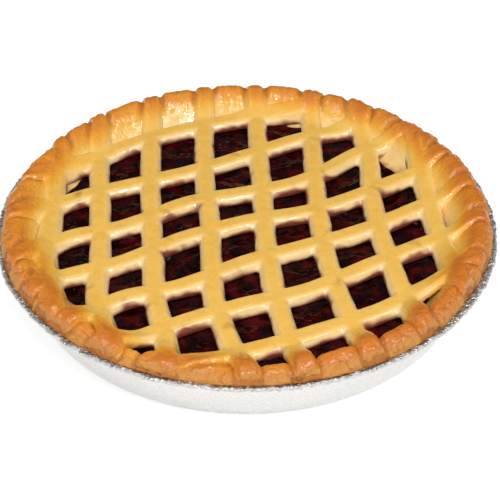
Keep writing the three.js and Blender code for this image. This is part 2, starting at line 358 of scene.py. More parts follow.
def apply_modifier(piece, kind, **settings):
    modifier = piece.modifiers.new(kind.lower(), kind)
    for name, value in settings.items():
        setattr(modifier, name, value)
    select_only(piece)
    bpy.ops.object.modifier_apply(modifier=modifier.name)


def roughen(piece, size, strength, group):
    """Pushes the surface in and out by a cloudy texture, where the group of points says."""
    clouds = bpy.data.textures.new(piece.name + "_clouds", "CLOUDS")
    clouds.noise_scale = size * MM
    apply_modifier(
        piece,
        "DISPLACE",
        texture=clouds,
        texture_coords="LOCAL",
        strength=strength * MM,
        mid_level=0.5,
        vertex_group=group,
    )


def keep_values(piece, name, values):
    """Stores one number at each point, for the material to read."""
    attribute = piece.data.attributes.new(name, "FLOAT", "POINT")
    attribute.data.foreach_set("value", np.asarray(values, dtype=np.float32))


def triangles(piece):
    piece.data.calc_loop_triangles()
    return len(piece.data.loop_triangles)


def finish_piece(piece, node, material):
    piece.data.materials.clear()
    piece.data.materials.append(material)
    for polygon in piece.data.polygons:
        polygon.use_smooth = True
    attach(piece, "root")
    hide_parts(node)
    print(piece.name, triangles(piece), "triangles")


# %% [markdown]
# ## Where the strips run
# Each strip is a smooth line through the places read above. It starts and ends a little way down the
# outside of the raised edge. The lines are worked out before any piece is made, because the crust
# puffs up between them.

# %% Lines of the strips
SECTIONS = 200  # steps along a strip


def through(points, count):
    """A smooth line through the points, cut at the crust's edge and then into equal steps."""
    p = np.array([points[0], *points, points[-1]], float)
    t = np.linspace(0, 1, 60, endpoint=False)[:, None]
    parts = []
    for a, b, c, d in zip(p, p[1:], p[2:], p[3:]):
        curve = 2 * b + (c - a) * t + (2 * a - 5 * b + 4 * c - d) * t**2 + (3 * b - a - 3 * c + d) * t**3
        parts.append(curve / 2)
    fine = np.vstack(parts)
    inside = np.flatnonzero(np.hypot(fine[:, 0], fine[:, 1]) < STRIP_CUT_RADIUS)
    fine = fine[inside[0] : inside[-1] + 1]
    along = np.concatenate([[0], np.cumsum(np.linalg.norm(np.diff(fine, axis=0), axis=1))])
    places = np.linspace(0, along[-1], count + 1)
    return np.column_stack([np.interp(places, along, fine[:, k]) for k in (0, 1)])


def on_ring(degrees, radius):
    angle = math.radians(degrees)
    return (radius * math.cos(angle), radius * math.sin(angle))


def strip_line(ends, middle, runs_away):
    stops = [(s, m) for s, m in zip(STATIONS, middle) if m is not None]
    stops = [(m, s) if runs_away else (s, m) for s, m in stops]
    past = STRIP_END_RADIUS + LONG_STRIP_WIDTH / 2
    first, last = ends
    route = [on_ring(first, past), on_ring(first, CREST_RADIUS), *stops]
    route += [on_ring(last, CREST_RADIUS), on_ring(last, past)]
    return through(route, SECTIONS)


long_lines = [strip_line(ends, middle, True) for ends, middle in LONG_STRIPS]
cross_lines = [strip_line(ends, middle, False) for ends, middle in CROSS_STRIPS]
all_lines = long_lines + cross_lines
print("strip lengths", [int(np.linalg.norm(np.diff(line, axis=0), axis=1).sum()) for line in all_lines])

# %% [markdown]
# ## Heights of the dough
# The raised edge rises and falls on its way round, and is lowest at the front. The strips' upper sides
# and the crust's own crest, which puffs up between them, follow heights read from the photo all the
# way round.

# %% Heights
EDGE_HEIGHT = 29.1  # where the crust's shoulder ends, just over the tin's rim
CRUST_FOOT_HEIGHT = 21.3  # under the filling, which laps up to the pastry
STRIP_SHOULDER = (7.6, 6.9)  # how far a strip falls outside the crest, and over what distance
STRIP_CREST = [  # height of the strips' upper sides where they cross the crest, at degrees from +X
    (-140, 36.4), (-126, 35.8), (-113, 33.0), (-106, 33.8), (-90, 34.5), (-77, 36.0), (-62, 36.3),
    (-45, 36.6), (0, 37.1), (45, 36.7), (75, 36.0), (105, 35.9), (135, 36.4), (180, 37.1),
]
CRUST_CREST = [  # height of the crust's own crest between the strips, at degrees from +X
    (-122, 33.0), (-116, 30.8), (-110, 32.0), (-97, 33.0), (-83, 32.6), (-75, 34.3), (-69, 35.2),
    (-55, 34.5), (-43, 35.2), (-25, 36.2), (0, 36.4), (45, 36.2), (75, 35.6), (105, 35.6), (135, 36.0),
    (160, 36.2), (190, 36.2), (215, 35.4), (232, 33.6),
]
CRUST_FOOT = [  # the radius where the crust starts to rise: the filling reaches further out at the front
    (-116, 98), (-90, 96.5), (-60, 96), (-42, 95), (-25, 91), (0, 88), (18, 87.5), (28, 86), (36, 84),
    (44, 85.5), (55, 88), (90, 89), (140, 88), (151, 87.5), (162, 89), (172, 88.5), (180, 88), (205, 91),
    (215, 92), (224, 89), (234, 95),
]


def on_the_way_round(table, angle):
    """What the table says at an angle, with an even change from each of its places to the next."""
    places, values = zip(*table)
    return np.interp(np.degrees(angle), places, values, period=360)


def shoulder(radius, fall, reach):
    """How far a rounded shoulder has fallen at a radius outside the crest."""
    out = np.clip((radius - CREST_RADIUS) / reach, 0, 1)
    return fall * (1 - np.sqrt(1 - out**2))


def crust_height(radius, angle):
    crest = on_the_way_round(CRUST_CREST, angle)
    climb = smoothstep(on_the_way_round(CRUST_FOOT, angle), CREST_RADIUS, radius)
    fall = shoulder(radius, crest - EDGE_HEIGHT, CRUST_OUTER_RADIUS - CREST_RADIUS)
    return CRUST_FOOT_HEIGHT + (crest - CRUST_FOOT_HEIGHT) * climb - fall


def strip_height(radius, angle):
    climb = smoothstep(STRIP_BEND_RADIUS, CREST_RADIUS, radius)
    rise = (on_the_way_round(STRIP_CREST, angle) - LATTICE_TOP) * climb
    return LATTICE_TOP + rise - shoulder(radius, *STRIP_SHOULDER)


print("crust's crest at the front", round(float(crust_height(CREST_RADIUS, -math.pi / 2)), 1), "mm")

# %% [markdown]
# ## Dough colours and the glaze
# Three shared effects are built once as node groups. One says how browned the dough is: little over
# the filling, most on the crest. One gives the mottled colour and the fine grain of baked dough. One
# makes the egg glaze patchy. Each puts out values that vary over the surface, and the shader itself
# stays in each material.

# %% How browned the dough is
BROWNED_HEIGHTS = (0.0275, 0.0355)  # metres, as are all lengths in a material
PATCH_SIZE = 9.0  # but the sizes of noise are in millimetres

browning, group_in, group_out = new_group(
    "oven_browning",
    [
        ("Starts at", 0.094),
        ("Full at", 0.107),
        ("Patchiness", 0.5),
        ("Hotter side", 1.2),
        ("Hotter front", 0.0),
    ],
    [("Browned", "NodeSocketFloat"), ("Distance out", "NodeSocketFloat"), ("Height", "NodeSocketFloat")],
)
position = browning.nodes.new("ShaderNodeTexCoord").outputs["Object"]
split = browning.nodes.new("ShaderNodeSeparateXYZ")
browning.links.new(position, split.inputs[0])
across = calculate(browning, "POWER", split.outputs["X"], 2)
away = calculate(browning, "POWER", split.outputs["Y"], 2)
distance = calculate(browning, "SQRT", plus(browning, across, away))
span = calculate(browning, "SUBTRACT", group_in.outputs["Full at"], group_in.outputs["Starts at"])
from_start = calculate(browning, "SUBTRACT", distance, group_in.outputs["Starts at"])
outward = calculate(browning, "DIVIDE", from_start, span, clamp=True)
high = remap(browning, split.outputs["Z"], *BROWNED_HEIGHTS)
both = times(browning, plus(browning, outward, high), 0.5)
patches = calculate(browning, "SUBTRACT", noise_value(browning, position, PATCH_SIZE, 3.0, 0.6), 0.5)
uneven = times(browning, patches, group_in.outputs["Patchiness"])
hotter = times(browning, split.outputs["X"], group_in.outputs["Hotter side"])
nearer = times(browning, split.outputs["Y"], group_in.outputs["Hotter front"])
hotter = calculate(browning, "SUBTRACT", hotter, nearer)
hotter = times(browning, hotter, outward)
evenly = plus(browning, both, hotter)
browning.links.new(plus(browning, evenly, uneven, clamp=True), group_out.inputs["Browned"])
browning.links.new(distance, group_out.inputs["Distance out"])
browning.links.new(split.outputs["Z"], group_out.inputs["Height"])
print("group", browning.name)

# %% The grain of the dough
CRUMB_SIZE = 0.8
BLISTER_SIZE = 1.9
RIPPLE_SIZE = 4.0
MOTTLE_SIZE = 14.0

grain, group_in, group_out = new_group(
    "dough_grain",
    [("Blistering", 0.0)],
    [(title, "NodeSocketFloat") for title in ("Speckle", "Relief", "Ripples", "Mottle")],
)
position = grain.nodes.new("ShaderNodeTexCoord").outputs["Object"]
fine = noise_value(grain, position, CRUMB_SIZE, 3.0, 0.65)
blisters = noise_value(grain, position, BLISTER_SIZE, 1.0, 0.5)
coarse = noise_value(grain, position, RIPPLE_SIZE, 2.0, 0.55)
grain.links.new(remap(grain, fine, 0.36, 0.64), group_out.inputs["Speckle"])
blistering = plus(grain, group_in.outputs["Blistering"], 0.5)
ripples = plus(grain, coarse, times(grain, blisters, blistering))
relief = plus(grain, ripples, times(grain, fine, 0.6))
grain.links.new(ripples, group_out.inputs["Ripples"])
grain.links.new(relief, group_out.inputs["Relief"])
grain.links.new(noise_value(grain, position, MOTTLE_SIZE, 2.0, 0.5), group_out.inputs["Mottle"])
print("group", grain.name)

# %% The patchy glaze
POOL_SIZE = 5.0  # of the glaze where it has pooled

glaze, group_in, group_out = new_group(
    "egg_glaze",
    [("Least", 0.1), ("Most", 0.9)],
    [("Coat", "NodeSocketFloat")],
)
position = glaze.nodes.new("ShaderNodeTexCoord").outputs["Object"]
pools = remap(glaze, noise_value(glaze, position, POOL_SIZE, 3.0, 0.6), 0.38, 0.58)
reach = calculate(glaze, "SUBTRACT", group_in.outputs["Most"], group_in.outputs["Least"])
amount = plus(glaze, group_in.outputs["Least"], times(glaze, pools, reach))
glaze.links.new(amount, group_out.inputs["Coat"])
print("group", glaze.name)

# %% [markdown]
# Both doughs use the same shader set-up. The colour runs along a ramp from pale dough to brown crust
# by how browned the place is. The strips' walls are paler, and low down the juice has stained them.
# The creases beside the strips on the raised edge are darkened with painted shade, partly glaze baked
# darker there.

# %% Dough colours
DOUGH_RAMP = [
    (0.0, srgb(250, 211, 132)),
    (0.22, srgb(247, 198, 92)),
    (0.46, srgb(246, 177, 52)),
    (0.74, srgb(236, 149, 36)),
    (1.0, srgb(213, 118, 26)),
]
SPECKLE_COLOUR = srgb(156, 86, 26)
MOTTLE_COLOUR = srgb(236, 172, 78)
CUT_EDGE_COLOUR = srgb(204, 140, 72)
# Painted shade for the creases beside the strips, partly glaze baked darker there:
CREASE_SHADE_COLOUR = srgb(158, 84, 22)
WALL_COLOUR = srgb(244, 214, 168)
STAIN_COLOUR = srgb(118, 26, 16)
CUT_EDGE_RADII = (0.1080, 0.1112)  # the dry, torn edge starts, and is in full
CUT_EDGE_HEIGHTS = (0.0350, 0.0325)  # none above the first height, and in full below the second
WALL_HEIGHTS = (0.0274, 0.0256)  # the strips' walls, pale because the heat hardly reaches them
STAIN_DEPTH = 0.0028  # from where the stain starts to where it is in full
STAIN_RAGGEDNESS = 0.011
PATCHINESS = 0.45


def ramp_colour(tree, factor, stops):
    node = tree.nodes.new("ShaderNodeValToRGB")
    ramp = node.color_ramp
    while len(ramp.elements) < len(stops):
        ramp.elements.new(0.5)
    for element, (place, colour) in zip(ramp.elements, stops):
        element.position = place
        element.color = colour
    tree.links.new(factor, node.inputs["Fac"])
    return node.outputs["Color"]


def new_material(name):
    material = bpy.data.materials.new(name)
    material.use_nodes = True
    return material, material.node_tree, material.node_tree.nodes["Principled BSDF"]


def attribute_value(tree, name):
    return add_node(tree, "ShaderNodeAttribute", attribute_name=name).outputs["Fac"]


def dough_colour(tree, browned, crumb, cut_edge, wall_paleness, stain_top):
    height = browned.outputs["Height"]
    middle = times(tree, attribute_value(tree, "strip_middle"), 0.22)
    baked = plus(tree, browned.outputs["Browned"], middle, clamp=True)
    colour = ramp_colour(tree, baked, DOUGH_RAMP)
    grainy = plus(tree, times(tree, browned.outputs["Browned"], 0.22), 0.10)
    speckled = mixed(tree, times(tree, crumb.outputs["Speckle"], grainy), colour, SPECKLE_COLOUR)
    mottled = mixed(tree, times(tree, crumb.outputs["Mottle"], 0.16), speckled, MOTTLE_COLOUR)
    edged = mixed(tree, cut_edge, mottled, CUT_EDGE_COLOUR)
    # Painted shade darkens the creases beside the strips, partly glaze baked darker there.
    creased = mixed(tree, times(tree, attribute_value(tree, "crease"), 0.6), edged, CREASE_SHADE_COLOUR)
    pale = times(tree, remap(tree, height, *WALL_HEIGHTS), wall_paleness)
    walls = mixed(tree, pale, creased, WALL_COLOUR)
    ragged = times(tree, calculate(tree, "SUBTRACT", crumb.outputs["Mottle"], 0.5), STAIN_RAGGEDNESS)
    level = plus(tree, height, ragged)
    stain = times(tree, remap(tree, level, stain_top, stain_top - STAIN_DEPTH), 0.95)
    return mixed(tree, stain, walls, STAIN_COLOUR)


print("ramp of", len(DOUGH_RAMP), "colours")

# %% [markdown]
# The glaze is a clear coat over the dough. It has ripples of its own, so that its glints break up,
# while the dough under it has the finer grain. The torn edge has hardly any glaze.

# %% Doughs of the lattice and the crust
def dough_material(
    name, starts_at, full_at, hotter_front, least_glaze, most_glaze, wall_paleness, stain_top
):
    material, tree, shader = new_material(name)
    browned = place_group(
        tree,
        browning,
        Starts_at=starts_at,
        Full_at=full_at,
        Patchiness=PATCHINESS,
        Hotter_front=hotter_front,
    )
    crumb = place_group(tree, grain, Blistering=browned.outputs["Browned"])
    coat = place_group(tree, glaze, Least=least_glaze, Most=most_glaze)
    cut_edge = times(tree, remap(tree, browned.outputs["Distance out"], *CUT_EDGE_RADII), 0.85)
    cut_edge = times(tree, cut_edge, remap(tree, browned.outputs["Height"], *CUT_EDGE_HEIGHTS))
    colour = dough_colour(tree, browned, crumb, cut_edge, wall_paleness, stain_top)
    tree.links.new(colour, shader.inputs["Base Color"])
    shader.inputs["Roughness"].default_value = 0.5
    shader.inputs["Specular IOR Level"].default_value = 0.25
    shader.inputs["Subsurface Weight"].default_value = 0.06
    shader.inputs["Subsurface Radius"].default_value = (1.0, 0.55, 0.25)
    shader.inputs["Subsurface Scale"].default_value = 0.0015
    shine = times(tree, coat.outputs["Coat"], calculate(tree, "SUBTRACT", 1.0, cut_edge))
    tree.links.new(shine, shader.inputs["Coat Weight"])
    shader.inputs["Coat Roughness"].default_value = 0.03
    shader.inputs["Coat IOR"].default_value = 1.55
    bump = add_node(tree, "ShaderNodeBump", in_Distance=0.0009)
    crumbly = plus(tree, times(tree, cut_edge, 0.4), 0.34)
    crumbly = plus(tree, crumbly, times(tree, browned.outputs["Browned"], 0.24))
    tree.links.new(crumbly, bump.inputs["Strength"])
    tree.links.new(crumb.outputs["Relief"], bump.inputs["Height"])
    tree.links.new(bump.outputs["Normal"], shader.inputs["Normal"])
    ripples = add_node(tree, "ShaderNodeBump", in_Strength=0.22, in_Distance=0.0007)
    tree.links.new(crumb.outputs["Ripples"], ripples.inputs["Height"])
    tree.links.new(ripples.outputs["Normal"], shader.inputs["Coat Normal"])
    return material


lattice_dough = dough_material(
    "lattice_pastry",
    starts_at=0.095,
    full_at=0.111,
    hotter_front=1.4,
    least_glaze=0.30,
    most_glaze=1.0,
    wall_paleness=0.6,
    stain_top=0.0264,
)
crust_dough = dough_material(
    "crust_pastry",
    starts_at=0.092,
    full_at=0.109,
    hotter_front=0.5,
    least_glaze=0.15,
    most_glaze=0.9,
    wall_paleness=0.1,
    stain_top=0.0232,
)
print("doughs", lattice_dough.name, crust_dough.name)

# %% [markdown]
# ## The foil tin
# The tin is pressed from thin foil: a flat base, a sloping wall with faint upright wrinkles, a narrow
# flange and a rolled rim that is crumpled all the way round. It could be a plain bowl with a bump
# texture, but the rim's outline shows, so it is turned as a thin shell and its rings are then pushed
# in and out.

# %% Tin shell
TIN_SIDES = 1080
FOIL = 0.25
BEAD = 0.9
tin_outside = [
    (TIN_BASE_RADIUS - 3.0, 0),
    (TIN_BASE_RADIUS - 1.2, 0.5),
    (TIN_BASE_RADIUS - 0.1, 1.9),
    (TIN_BASE_RADIUS + 0.6, 3.7),
    (TIN_WALL_TOP - 0.4, TIN_HEIGHT - 2.6),
    (TIN_WALL_TOP + 0.5, TIN_HEIGHT - 0.9),
    (TIN_RADIUS - 2.2, TIN_HEIGHT - 0.5),
]
bead_turns = range(-90, 136, 45)
bead_centre = (TIN_RADIUS - BEAD, TIN_HEIGHT - BEAD)
tin_bead = [
    (
        bead_centre[0] + BEAD * math.cos(math.radians(turn)),
        bead_centre[1] + BEAD * math.sin(math.radians(turn)),
    )
    for turn in bead_turns
]
tin_inside = [(radius - FOIL * 1.2, height + FOIL * 0.8) for radius, height in reversed(tin_outside)]
tin_profile = in_steps(tin_outside, 2.0) + tin_bead + in_steps(tin_inside, 2.0)
tin = turned_piece("tin_foil", tin_profile, TIN_SIDES)

# %% Crumple the foil
FLUTES = 0.35  # depth of the wall's upright wrinkles
CRUMPLE = 0.95  # how far the rim is pushed in and out
RIM_WAVES = 0.45  # and up and down
RIM_NICKS = 0.5
points = points_of(tin)
radius = np.hypot(points[:, 0], points[:, 1])
angle = np.arctan2(points[:, 1], points[:, 0])
circle = np.column_stack([np.cos(angle), np.sin(angle), np.zeros(len(angle))]) * TIN_RADIUS
on_wall = smoothstep(3, 10, points[:, 2]) * smoothstep(TIN_HEIGHT - 1, TIN_HEIGHT - 5, points[:, 2])
on_rim = smoothstep(TIN_WALL_TOP - 0.5, TIN_WALL_TOP + 2.5, radius)
flutes = np.abs(waver(circle, 4.5, 1)) - 0.25 + 0.5 * waver(circle, 14, 2)
lifted = circle + [0, 0, 1] * points[:, 2:3]
creased = 1.1 * np.abs(waver(lifted, 2.0, 3)) - 0.3 + 0.5 * waver(circle, 8, 4)
out = (FLUTES * flutes * on_wall + CRUMPLE * creased * on_rim) / radius.clip(1)
points[:, 0] += points[:, 0] * out
points[:, 1] += points[:, 1] * out
nicks = np.abs(waver(lifted, 1.7, 10))
points[:, 2] += on_rim * (RIM_WAVES * waver(circle, 3.4, 5) + RIM_NICKS * nicks - 0.1)
move_points(tin, points)
print("tin reaches", round(float(np.hypot(points[:, 0], points[:, 1]).max()), 1), "mm from the centre")

# %% [markdown]
# Foil is bright metal whose tiny dents scatter what it mirrors, so it is a metal of middling roughness
# with two sizes of dent in its bump.

# %% Foil material
RIM_HEIGHTS = (0.0258, 0.0266)  # the crumpled rim starts, and is in full
DENT_SIZE = 3.0
CRINKLE_SIZE = 1.3
SCRATCH_SIZE = 0.7
FOIL_COLOUR = srgb(215, 214, 211)

foil, tree, shader = new_material("foil")
position = tree.nodes.new("ShaderNodeTexCoord").outputs["Object"]
across_foil = tree.nodes.new("ShaderNodeSeparateXYZ")
tree.links.new(position, across_foil.inputs[0])
rim_part = remap(tree, across_foil.outputs["Z"], *RIM_HEIGHTS)
dents = noise_value(tree, position, DENT_SIZE, 3.0, 0.6)
crinkles = times(tree, noise_value(tree, position, CRINKLE_SIZE, 2.0, 0.6), rim_part)
scratches = noise_value(tree, position, SCRATCH_SIZE, 2.0, 0.6)
shader.inputs["Base Color"].default_value = FOIL_COLOUR
shader.inputs["Metallic"].default_value = 1.0
rough = remap(tree, scratches, 0.3, 0.7, 0.18, 0.34)
rougher = plus(tree, rough, times(tree, rim_part, 0.08))
tree.links.new(rougher, shader.inputs["Roughness"])
bump = add_node(tree, "ShaderNodeBump", in_Distance=0.0014)
tree.links.new(plus(tree, dents, crinkles), bump.inputs["Height"])
tree.links.new(plus(tree, times(tree, rim_part, 0.8), 0.12), bump.inputs["Strength"])
tree.links.new(bump.outputs["Normal"], shader.inputs["Normal"])
finish_piece(tin, "foil_tin", foil)

# %% [markdown]
# ## The crust
# The pastry case lines the tin and rises into a thick edge. Between the strips the edge puffs up, and
# it dips in a crease along each strip. Outside the crest it is dry and crumbly. It is turned as one
# closed solid with small faces on the part that shows, and then its points are raised and lowered.

# %% Crust blank
CRUST_SIDES = 1380
SHOULDER_ROWS = 26
SLOPE_ROWS = 30
LEDGE_BOTTOM = TIN_HEIGHT - 0.4
CRUST_START = 84  # under the filling's edge
shoulder_width = CRUST_OUTER_RADIUS - CREST_RADIUS
top_radii = [
    CREST_RADIUS + shoulder_width * math.cos(math.pi / 2 * i / SHOULDER_ROWS) for i in range(SHOULDER_ROWS)
]
top_radii += [CREST_RADIUS - (CREST_RADIUS - CRUST_START) * i / SLOPE_ROWS for i in range(SLOPE_ROWS + 1)]
crust_profile = [
    (TIN_BASE_RADIUS - 4.5, 1.1),
    (TIN_BASE_RADIUS - 1.4, 3.5),
    (TIN_WALL_TOP - 2.5, TIN_HEIGHT - 3),
    (TIN_WALL_TOP, LEDGE_BOTTOM),
    (CRUST_OUTER_RADIUS - 0.6, LEDGE_BOTTOM),
    (CRUST_OUTER_RADIUS - 0.1, LEDGE_BOTTOM + 0.4),
    (CRUST_OUTER_RADIUS, LEDGE_BOTTOM + 1.0),
]
crust_profile += [(radius, float(crust_height(radius, 0))) for radius in top_radii]
crust_profile += [(CRUST_START, CRUST_FLOOR + 1.1)]
crust = turned_piece("crust", crust_profile, CRUST_SIDES)
print("crust blank", len(crust.data.vertices), "points")

# %% Puffs and creases
CREASE = 1.7  # how deep the dough dips beside a strip
CREASE_REACH = (5.0, 8.5)  # from a strip's middle line, where the crease is deepest, and where it ends
CREASE_SHADE_LINE = (5.8, 7.4)  # the same for the painted shade along it, a dark line
CLIMBING = (0.35, 0.8)  # how straight outwards a strip runs where it first makes a crease, and a full one
PUFF = 0.8  # how far the edge swells and sinks
CRUMBLED = 0.8  # how much has crumbled off outside the crest
CRACK_WIDTH = 0.12  # as a share of the noise
CRACK_DEPTH = 0.9
CRACK_DROP = 0.4
LEAST_LEDGE = 0.6  # how thick the dough stays over the tin's rim
DRAWN_IN = [  # how far the dough has shrunk back from the tin's rim, at degrees from +X
    (-110, 0.2), (-60, 0), (-45, 0.4), (-30, 1.6), (-18, 0.3), (20, 0), (60, 0.5), (130, 0.3), (155, 1.8),
    (172, 0.5), (200, 0), (225, 0.5),
]

line_tree = kdtree.KDTree(sum(len(line) for line in all_lines))
leans = []
for line in all_lines:
    ahead = np.gradient(line, axis=0)
    ahead /= np.linalg.norm(ahead, axis=1)[:, None]
    outward_unit = line / np.linalg.norm(line, axis=1)[:, None]
    for (x, y), lean in zip(line, np.abs((ahead * outward_unit).sum(axis=1))):
        line_tree.insert((x, y, 0), len(leans))
        leans.append(lean)
line_tree.balance()

points = points_of(crust)
radius = np.hypot(points[:, 0], points[:, 1])
angle = np.arctan2(points[:, 1], points[:, 0])
blank_height = crust_height(radius, 0)
on_top = (np.abs(points[:, 2] - blank_height) < 0.02) & (radius > CRUST_START - 0.01)
on_top &= points[:, 2] > CRUST_FOOT_HEIGHT - 1
found = [line_tree.find((x, y, 0)) for x, y, _ in points]
to_strip = np.array([distance for _, _, distance in found])
lean = np.array([leans[index] for _, index, _ in found])
climbing = smoothstep(*CLIMBING, lean)
creased = (1 - smoothstep(*CREASE_REACH, to_strip)) * climbing
on_edge = smoothstep(96, 103, radius)
flat_points = points * [1, 1, 0]
height = crust_height(radius, angle) - CREASE * on_edge * creased
height += PUFF * on_edge * waver(flat_points, 13, 6)
height -= CRUMBLED * smoothstep(108, 113, radius) * np.abs(waver(flat_points, 3.2, 7))
lowest = np.where(radius > CREST_RADIUS, LEDGE_BOTTOM + LEAST_LEDGE, 0)
points[:, 2] = np.where(on_top, np.maximum(height, lowest), points[:, 2])
# Upright cracks in the cut edge, in places only.
cut_edge = smoothstep(107, 110, radius) * on_top
cracked = np.exp(-((waver(points * [1, 1, 0.3], 4.2, 31) / CRACK_WIDTH) ** 2))
cracked *= smoothstep(-0.15, 0.2, waver(flat_points, 12, 32)) * cut_edge
points[:, :2] *= (1 - CRACK_DEPTH * cracked / radius.clip(1))[:, None]
points[:, 2] -= CRACK_DROP * cracked
shrunk = on_the_way_round(DRAWN_IN, angle) * smoothstep(106, 111, radius)
points[:, :2] *= (1 - shrunk / radius.clip(1))[:, None]
move_points(crust, points)
print("crust from", round(points[:, 2].min(), 1), "to", round(points[:, 2].max(), 1), "mm")

# %% Crumbly outer edge
outer = crust.vertex_groups.new(name="outer_edge")
shown = crust.vertex_groups.new(name="shown")
for index in np.flatnonzero(on_top):
    outer.add([int(index)], float(smoothstep(106, 110.5, radius[index])), "REPLACE")
    shown.add([int(index)], float(smoothstep(95, 98, radius[index])), "REPLACE")
for index in np.flatnonzero((radius > CRUST_OUTER_RADIUS - 0.5) & ~on_top):
    outer.add([int(index)], 0.6, "REPLACE")
roughen(crust, size=4.0, strength=0.5, group="shown")
roughen(crust, size=2.6, strength=1.2, group="outer_edge")
roughen(crust, size=1.2, strength=0.6, group="outer_edge")
# Painted shade: a dark line along the crease beside each strip, for the material to darken.
keep_values(crust, "crease", (1 - smoothstep(*CREASE_SHADE_LINE, to_strip)) * climbing * on_edge)
keep_values(crust, "strip_middle", np.zeros(len(points)))
finish_piece(crust, "pastry_crust", crust_dough)

# %% [markdown]
# ## The filling
# The filling is set berry jelly with whole and broken berries in it. Each berry is a cluster of little
# round drupelets. Through the openings only small windows of it show, so the surface is one fine
# sheet, pushed up into lumps, with a wet edge that climbs a little at the pastry.

# %% Filling sheet
FILLING_CELLS = 300
FILLING_LAP = 2.2  # how far it laps up the foot of the crust
FILLING_BOTTOM = CRUST_FLOOR + 1.4
bpy.ops.object.select_all(action="DESELECT")
bpy.ops.mesh.primitive_grid_add(x_subdivisions=FILLING_CELLS, y_subdivisions=FILLING_CELLS, size=2)
filling = bpy.context.object
filling.name = "filling"
points = points_of(filling) * MM
x, y = points[:, 0], points[:, 1]
# A square grid pressed into a disc: its corners move in, and no face ends up thin.
points = np.column_stack([x * np.sqrt(1 - y * y / 2), y * np.sqrt(1 - x * x / 2), 0 * x])
foot = on_the_way_round(CRUST_FOOT, np.arctan2(points[:, 1], points[:, 0]))
points *= (foot + FILLING_LAP)[:, None]
points[:, 2] = FILLING_TOP
move_points(filling, points)
bpy.ops.object.mode_set(mode="EDIT")
bpy.ops.mesh.select_mode(type="EDGE")
bpy.ops.mesh.select_all(action="DESELECT")
bpy.ops.mesh.select_non_manifold()
bpy.ops.mesh.extrude_region_move(
    TRANSFORM_OT_translate={"value": (0, 0, (FILLING_BOTTOM - FILLING_TOP) * MM)}
)
bpy.ops.mesh.edge_face_add()
bpy.ops.mesh.select_all(action="SELECT")
bpy.ops.mesh.normals_make_consistent(inside=False)
bpy.ops.object.mode_set(mode="OBJECT")
print("filling blank", len(filling.data.vertices), "points")

# %% Berries in the jelly
BERRIES = 110
DRUPELET = 2.4  # radius of one drupelet
DRUPELET_SINK = 0.35  # how deep the jelly covers it
DRUPELETS = 14  # on one berry
BERRY = 7.0  # radius of one berry, as far as it shows
BERRY_CURVE = 0.035  # how fast a berry rounds down, per mm squared
SUNK = (0.2, 1.6)  # how deep the highest and the deepest berry lies
WAVES = [(0.45, 15, 8), (0.75, 6, 9)]  # height, size and seed of the jelly's waves
SMOOTH_PATCH = 26  # size of the places where the jelly lies smooth over the berries
HIGHEST_LUMP = 1.5
SETTLED = 0.1  # how far the jelly has sunk
WALL_WETTING = 0.7  # how high the jelly climbs at a strip's wall
WETTING_WIDTH = 0.8
BERRY_SEED = 11
random_numbers = np.random.default_rng(BERRY_SEED)
golden_angle = math.pi * (3 - math.sqrt(5))

drupelets = []
for _ in range(BERRIES):
    reach = CRUST_INNER_RADIUS * math.sqrt(random_numbers.random())
    turn = random_numbers.random() * 2 * math.pi
    sunk = random_numbers.uniform(*SUNK)
    centre = (reach * math.cos(turn), reach * math.sin(turn))
    for i in range(DRUPELETS):
        out = BERRY * math.sqrt((i + 0.5) / DRUPELETS)
        drop = BERRY_CURVE * out**2 + sunk
        swing = turn + i * golden_angle
        place = (centre[0] + out * math.cos(swing), centre[1] + out * math.sin(swing))
        drupelets.append((*place, -drop))
drupelet_tree = kdtree.KDTree(len(drupelets))
for index, (x, y, _) in enumerate(drupelets):
    drupelet_tree.insert((x, y, 0), index)
drupelet_tree.balance()

points = points_of(filling)
is_top = points[:, 2] > FILLING_TOP - 0.01
flat_points = points * [1, 1, 0]
level = sum(height * waver(flat_points, size, seed) for height, size, seed in WAVES)
lumpy = smoothstep(-0.25, 0.15, waver(flat_points, SMOOTH_PATCH, 12))
for index in np.flatnonzero(is_top):
    x, y, _ = points[index]
    lump = level[index]
    for _, which, distance in drupelet_tree.find_range((x, y, 0), DRUPELET):
        rise = drupelets[which][2] + math.sqrt(max(DRUPELET**2 - distance**2, 0)) - DRUPELET_SINK
        lump = max(lump, level[index] + (rise - level[index]) * lumpy[index])
    _, _, to_line = line_tree.find((x, y, 0))
    wall = max(to_line - LONG_STRIP_WIDTH / 2, 0)
    wetting = WALL_WETTING * math.exp(-wall / WETTING_WIDTH)
    points[index, 2] = FILLING_TOP - SETTLED + min(lump, HIGHEST_LUMP) + wetting
move_points(filling, points)
apply_modifier(filling, "SMOOTH", factor=0.5, iterations=1)
print(len(drupelets), "drupelets, filling up to", round(points_of(filling)[:, 2].max(), 1), "mm")

# %% [markdown]
# The jelly is nearly black where it is deep and wine red where light gets through. It is as smooth as
# glass, so it mirrors the lamps and the strips' pale walls.

# %% Filling material
CLOUD_SIZE = 7.0
SWELL_SIZE = 3.4
JELLY_RAMP = [(0.0, srgb(18, 1, 2)), (0.6, srgb(44, 2, 3)), (1.0, srgb(68, 4, 6))]

jelly, tree, shader = new_material("berry_jelly")
position = tree.nodes.new("ShaderNodeTexCoord").outputs["Object"]
clouds = noise_value(tree, position, CLOUD_SIZE, 2.0, 0.55)
colour = ramp_colour(tree, remap(tree, clouds, 0.35, 0.70), JELLY_RAMP)
tree.links.new(colour, shader.inputs["Base Color"])
shader.inputs["Roughness"].default_value = 0.05
shader.inputs["IOR"].default_value = 1.38
shader.inputs["Specular IOR Level"].default_value = 0.20
bump = add_node(tree, "ShaderNodeBump", in_Strength=0.5, in_Distance=0.0010)
tree.links.new(noise_value(tree, position, SWELL_SIZE, 1.0, 0.4), bump.inputs["Height"])
tree.links.new(bump.outputs["Normal"], shader.inputs["Normal"])
finish_piece(filling, "berry_filling", jelly)

